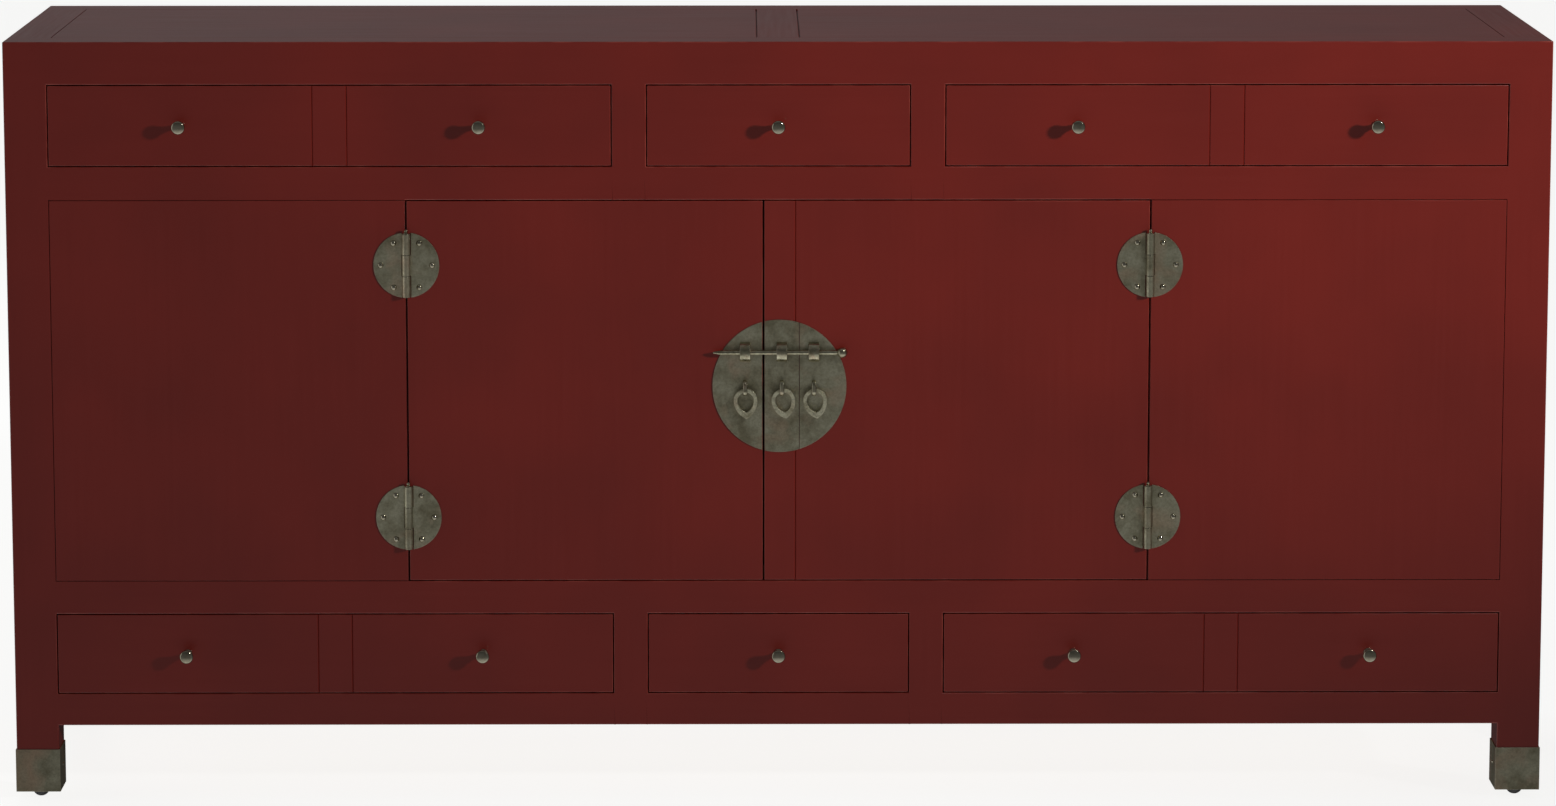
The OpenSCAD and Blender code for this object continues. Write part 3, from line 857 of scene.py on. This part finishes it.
class SIDEBOARD_OT_nails(bpy.types.Operator):
    """Make the domed nails of the hinges and shoes"""

    bl_idname = "sideboard.nails"
    bl_label = "Nails"

    def execute(self, context):
        for name in ("fixed_nails", "left_door_nails", "right_door_nails"):
            source = copy_of(name)
            nails = []
            for solid in solids_of(source):
                low, high = span(solid)
                size = high - low
                axis = max(range(3), key=lambda i: size[i])
                radius = sorted(size)[0] / 2
                middle = (low + high) / 2
                # The head is at the end where the solid is widest.
                widest = max(
                    (v.co for v in solid),
                    key=lambda at: sum((at[i] - middle[i]) ** 2 for i in range(3) if i != axis),
                )
                at_low = widest[axis] - low[axis] < high[axis] - widest[axis]
                dome = min(widest[axis] - low[axis], high[axis] - widest[axis])
                out = Vector((0, 0, 0))
                out[axis] = -1.0 if at_low else 1.0
                foot = middle.copy()
                foot[axis] = low[axis] + dome if at_low else high[axis] - dome
                shank = size[axis] - dome
                bend = (radius * radius + dome * dome) / (2 * dome)
                tilt = math.degrees(math.asin((bend - dome) / bend))
                profile = [(0.0, -shank), (0.35 * MM, -shank + 1.5 * MM)]
                profile += [(1 * MM, -shank + 4 * MM), (1 * MM, 0.0)]
                profile += arc((0.0, dome - bend), bend, tilt, 90, 7)
                profile[-1] = (0.0, dome)
                nails.append(turned(profile, 20, foot, out))
            source.free()
            finish_piece(joined(nails), [name], ["bright"], sharp=50)
        return {"FINISHED"}


class SIDEBOARD_OT_lock_plates(bpy.types.Operator):
    """Finish the round lock plate's three pieces"""

    bl_idname = "sideboard.lock_plates"
    bl_label = "Lock plates"

    def execute(self, context):
        for name in ("left_lock_plate", "right_lock_plates"):
            bm = copy_of(name)
            rims = [e for e in sharp_edges(bm) if any(abs(f.normal.y) > FACING for f in e.link_faces)]
            ease(bm, rims, context.scene.sideboard_edges.plate, segments=2)
            finish_piece(bm, [name], ["plate"], sharp=35)
        return {"FINISHED"}


class SIDEBOARD_OT_staples(bpy.types.Operator):
    """Bend the staples that hold the bolt, and finish the eyes under them"""

    bl_idname = "sideboard.staples"
    bl_label = "Staples and eyes"

    def execute(self, context):
        edges = context.scene.sideboard_edges
        for name in ("left_staple_and_eye", "right_staples_and_eyes"):
            bm = copy_of(name)
            staples = [s for s in solids_of(bm) if span(s)[1].x - span(s)[0].x > 8 * MM]
            boxes = [span(s) for s in staples]
            bmesh.ops.delete(bm, geom=[v for s in staples for v in s], context="VERTS")
            ease(bm, [e for e in sharp_edges(bm) if e.calc_length() > 0.2 * MM], 1.3 * MM)
            for low, high in boxes:
                outer = (high.z - low.z) / 2
                middle = Vector(((low.x + high.x) / 2, low.y + outer, (low.z + high.z) / 2))
                wide = (high.x - low.x) / 2
                strap = bmesh.new()
                strap.faces.layers.float.new("rubbed")
                inner = outer - edges.strap
                corners = [
                    strap.verts.new((x, 0.0, z))
                    for x, z in ((-wide, -outer), (wide, -outer), (wide, -inner), (-wide, -inner))
                ]
                ring = [strap.edges.new((a, b)) for a, b in zip(corners, corners[1:] + corners[:1])]
                bmesh.ops.spin(
                    strap,
                    geom=corners + ring,
                    cent=(0, 0, 0),
                    axis=(1, 0, 0),
                    angle=-math.pi,
                    steps=20,
                    use_merge=False,
                    use_duplicate=False,
                )
                ends = [e for e in strap.edges if len(e.link_faces) == 1]
                bmesh.ops.holes_fill(strap, edges=ends, sides=4)
                bmesh.ops.recalc_face_normals(strap, faces=strap.faces)
                ease(strap, sharp_edges(strap), 0.5 * MM, segments=2)
                # Two tangs hold it in the door.
                profile = [(0.0, 0.0), (0.6 * MM, 0.0), (1.5 * MM, 3 * MM)]
                profile += [(1.5 * MM, 17.5 * MM), (0.0, 17.5 * MM)]
                for side in (-1, 1):
                    foot = Vector((0, high.y - middle.y, side * 9 * MM))
                    add_to(strap, turned(profile, 12, foot, (0, -1, 0)))
                bmesh.ops.translate(strap, verts=strap.verts, vec=middle)
                add_to(bm, strap)
            finish_piece(bm, [name], ["fitting"], sharp=45)
        return {"FINISHED"}


class SIDEBOARD_OT_bolt(bpy.types.Operator):
    """Turn the sliding bolt"""

    bl_idname = "sideboard.bolt"
    bl_label = "Bolt"

    def execute(self, context):
        low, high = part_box("bolt")
        ball = (high.z - low.z) / 2
        long = high.x - low.x
        rod = 2.8 * MM
        # A tapered tip, a plain rod, a neck and a ball.
        profile = [(0.0, 0.0), (0.7 * MM, 0.0), (1.1 * MM, 0.4 * MM)]
        profile += [(rod - 0.2 * MM, 8 * MM), (rod, 10 * MM)]
        profile += [(rod, long - 2 * ball - 1.5 * MM), (2.3 * MM, long - 2 * ball - 0.6 * MM)]
        profile += [(2.3 * MM, long - 2 * ball + 0.2 * MM)]
        profile += arc((0.0, long - ball), ball, -68, 90, 16)
        profile[-1] = (0.0, long)
        place = Vector((low.x, (low.y + high.y) / 2, (low.z + high.z) / 2))
        bm = turned(profile, context.scene.sideboard_edges.turns, place, (1, 0, 0))
        finish_piece(bm, ["bolt"], ["fitting"], sharp=50)
        return {"FINISHED"}


class SIDEBOARD_OT_pulls(bpy.types.Operator):
    """Finish the three leaf-shaped drop pulls"""

    bl_idname = "sideboard.pulls"
    bl_label = "Drop pulls"

    def execute(self, context):
        for name in ("left_pull", "middle_pull", "right_pull"):
            bm = copy_of(name)
            rims = [e for e in sharp_edges(bm) if any(abs(f.normal.y) > FACING for f in e.link_faces)]
            ease(bm, rims, context.scene.sideboard_edges.pull)
            finish_piece(bm, [name], ["pull"], sharp=40)
        return {"FINISHED"}


class SIDEBOARD_OT_shoes(bpy.types.Operator):
    """Finish the sheet-metal shoes on the legs"""

    bl_idname = "sideboard.shoes"
    bl_label = "Shoes"

    def execute(self, context):
        bm = copy_of("leg_shoes")
        ease(bm, box_edges(bm), 0.55 * MM)
        finish_piece(bm, ["leg_shoes"], ["shoe"], sharp=35)
        return {"FINISHED"}


class SIDEBOARD_OT_glides(bpy.types.Operator):
    """Turn the moulded glides under the shoes"""

    bl_idname = "sideboard.glides"
    bl_label = "Glides"

    def execute(self, context):
        glides = []
        for low, high in spans_of("leg_glides"):
            radius, tall = (high.x - low.x) / 2, 10 * MM
            # A domed foot with a small flat, a rounded shoulder and the stem up into the leg.
            profile = [(0.0, 0.0), (3.4 * MM, 0.0)]
            profile += arc((0.0, radius - 0.6 * MM), radius, -66, -6, 9)
            profile += [(radius, tall - 0.4 * MM), (radius - 0.4 * MM, tall), (3 * MM, tall)]
            profile += [(3 * MM, high.z - 0.6 * MM), (2.4 * MM, high.z), (0.0, high.z)]
            middle = Vector(((low.x + high.x) / 2, (low.y + high.y) / 2, low.z))
            glides.append(turned(profile, 28, middle, (0, 0, 1)))
        finish_piece(joined(glides), ["leg_glides"], ["glide"], sharp=45)
        return {"FINISHED"}


class SIDEBOARD_OT_stage(bpy.types.Operator):
    """Lay the pale floor, and set the lights and the camera"""

    bl_idname = "sideboard.stage"
    bl_label = "Stage"

    def execute(self, context):
        studio = context.scene.sideboard_studio
        bm = bmesh.new()
        bmesh.ops.create_grid(bm, x_segments=1, y_segments=1, size=60.0)
        mesh = bpy.data.meshes.new("floor")
        bm.to_mesh(mesh)
        bm.free()
        floor = bpy.data.objects.new("floor", mesh)
        context.scene.collection.objects.link(floor)
        material, _, shader = new_material(
            "Plain_pale_floor", {"Roughness": 0.9, "Emission Strength": 0.95, "Specular IOR Level": 0.0}
        )
        shader.inputs["Base Color"].default_value = (0.35, 0.35, 0.35, 1.0)
        shader.inputs["Emission Color"].default_value = tuple(studio.floor)
        mesh.materials.append(material)
        # The room's dim light, and not the floor's white, is what the sideboard mirrors.
        floor.visible_glossy = False
        floor.visible_diffuse = False
        self.room(context, studio)
        # The key light isn't mirrored: a weaker and higher lamp makes the glints on the metal, so that the
        # top doesn't glare when seen from behind.
        key = self.lamp("key", (4.1, -2.9, 1.95), (0.68, CAD_LOW.y, 1.13), studio.key, soft=0.2, cone=29.5)
        key.visible_glossy = False
        glint = self.lamp("glint", (3.1, -2.9, 3.5), (0, CAD_LOW.y, 0.5), studio.glint, soft=0.15, cone=70)
        glint.visible_diffuse = False
        back = self.lamp("back", (-1.5, 5.5, 1.3), (0, 0.2, 0.5), studio.back, soft=0.9, cone=60)
        back.visible_glossy = False
        self.camera(context)
        return {"FINISHED"}

    def lamp(self, name, place, target, power, soft, cone):
        """A soft-edged spot lamp at a place, turned to a target."""
        data = bpy.data.lights.new(name, "SPOT")
        data.energy = power
        data.shadow_soft_size = soft
        data.spot_size = math.radians(cone)
        data.spot_blend = 1.0
        lamp = bpy.data.objects.new(name, data)
        lamp.location = place
        lamp.rotation_euler = (Vector(target) - Vector(place)).to_track_quat("-Z", "Y").to_euler()
        bpy.context.scene.collection.objects.link(lamp)
        return lamp

    def room(self, context, studio):
        """Dim in front, bright low down and at the left, and white where it is looked at."""
        world = bpy.data.worlds.new("Studio")
        world.use_nodes = True
        context.scene.world = world
        tree = world.node_tree
        tree.nodes.clear()
        way = add_node(tree, "ShaderNodeTexCoord").outputs["Generated"]
        axes = add_node(tree, "ShaderNodeSeparateXYZ", [(0, way)]).outputs
        height = add_node(
            tree, "ShaderNodeMapRange", [("Value", axes["Z"]), ("From Min", -1.0), ("From Max", 1.0)]
        ).outputs["Result"]
        # The brightness of the room from straight down (-1) to straight up (1), before and behind.
        shades = []
        for steps in (
            [(-1, 1.0), (-0.6, 0.6), (-0.28, 0.18), (0.1, 0.13), (0.5, 0.07), (1, 0.2)],
            [(-1, 0.4), (-0.55, 0.15), (-0.2, 0.05), (0.1, 0.25), (0.5, 0.16), (1, 0.34)],
        ):
            ramp = add_node(tree, "ShaderNodeValToRGB", [(0, height)])
            elements = ramp.color_ramp.elements
            while len(elements) < len(steps):
                elements.new(0.5)
            for element, (level, value) in zip(elements, steps):
                element.position = (level + 1) / 2
                element.color = (value, value, value, 1)
            shades.append(ramp.outputs["Color"])
        # How far a direction is to the right, behind, and to the far left.
        across, back, left = [
            add_node(
                tree,
                "ShaderNodeMapRange",
                [
                    ("Value", axes[axis]), ("From Min", start), ("From Max", end),
                    ("To Min", low), ("To Max", high),
                ],
                interpolation_type="SMOOTHSTEP",
            ).outputs["Result"]
            for axis, start, end, low, high in (
                ("X", -0.15, 0.3, 1.0, 0.45),
                ("Y", -0.15, 0.15, 0.0, 1.0),
                ("X", -0.75, -0.9, 0.0, 1.0),
            )
        ]
        behind = add_node(tree, "ShaderNodeVectorMath", [(0, shades[1]), (1, across)], operation="MULTIPLY")
        all_round = add_node(
            tree, "ShaderNodeMix", [(0, back), (6, shades[0]), (7, behind.outputs[0])], data_type="RGBA"
        ).outputs[2]
        side = add_node(
            tree, "ShaderNodeMix", [(0, left), (6, all_round), (7, (0.8, 0.8, 0.8, 1))], data_type="RGBA"
        ).outputs[2]
        dim = add_node(tree, "ShaderNodeBackground", [("Color", side), ("Strength", studio.room)])
        pale = add_node(tree, "ShaderNodeBackground", [("Color", (1.0, 1.0, 1.0, 1)), ("Strength", 1.0)])
        looked_at = add_node(tree, "ShaderNodeLightPath").outputs["Is Camera Ray"]
        both = add_node(
            tree, "ShaderNodeMixShader", [(0, looked_at), (1, dim.outputs[0]), (2, pale.outputs[0])]
        )
        add_node(tree, "ShaderNodeOutputWorld", [("Surface", both.outputs[0])])

    def camera(self, context):
        """A long lens, a little above the top and left of the middle, looking slightly down."""
        data = bpy.data.cameras.new("camera")
        data.lens = 127.25
        data.sensor_width = 36.0
        data.shift_y = -0.06
        data.clip_end = 200.0
        camera = bpy.data.objects.new("camera", data)
        camera.location = (-0.0385, -6.57, 1.539)
        down, right = 8.531, 0.343
        camera.rotation_euler = (math.radians(90 - down), 0.0, math.radians(-right))
        context.scene.collection.objects.link(camera)
        context.scene.camera = camera
        context.scene.view_settings.view_transform = "Standard"


OPERATORS = [
    SIDEBOARD_OT_frame,
    SIDEBOARD_OT_inside,
    SIDEBOARD_OT_doors,
    SIDEBOARD_OT_drawers,
    SIDEBOARD_OT_knobs,
    SIDEBOARD_OT_hinges,
    SIDEBOARD_OT_nails,
    SIDEBOARD_OT_lock_plates,
    SIDEBOARD_OT_staples,
    SIDEBOARD_OT_bolt,
    SIDEBOARD_OT_pulls,
    SIDEBOARD_OT_shoes,
    SIDEBOARD_OT_glides,
    SIDEBOARD_OT_stage,
]


class SIDEBOARD_PT_panel(bpy.types.Panel):
    """Lists the pieces and their settings"""

    bl_idname = "SIDEBOARD_PT_panel"
    bl_label = "Lacquered Sideboard"
    bl_space_type = "VIEW_3D"
    bl_region_type = "UI"
    bl_category = "Sideboard"

    def draw(self, context):
        for group in ("sideboard_edges", "sideboard_finishes", "sideboard_studio"):
            box = self.layout.box()
            settings = getattr(context.scene, group)
            for name in settings.__annotations__:
                box.prop(settings, name)
        for operator in OPERATORS:
            self.layout.operator(operator.bl_idname)


GROUPS = [SIDEBOARD_PG_edges, SIDEBOARD_PG_finishes, SIDEBOARD_PG_studio]


def register():
    for cls in GROUPS + OPERATORS + [SIDEBOARD_PT_panel]:
        bpy.utils.register_class(cls)
    bpy.types.Scene.sideboard_edges = PointerProperty(type=SIDEBOARD_PG_edges)
    bpy.types.Scene.sideboard_finishes = PointerProperty(type=SIDEBOARD_PG_finishes)
    bpy.types.Scene.sideboard_studio = PointerProperty(type=SIDEBOARD_PG_studio)


def unregister():
    del bpy.types.Scene.sideboard_studio
    del bpy.types.Scene.sideboard_finishes
    del bpy.types.Scene.sideboard_edges
    for cls in reversed(GROUPS + OPERATORS + [SIDEBOARD_PT_panel]):
        bpy.utils.unregister_class(cls)


def main():
    register()
    finishes()
    for operator in OPERATORS:
        getattr(bpy.ops.sideboard, operator.bl_idname.split(".")[1])()


if __name__ == "__main__":
    main()
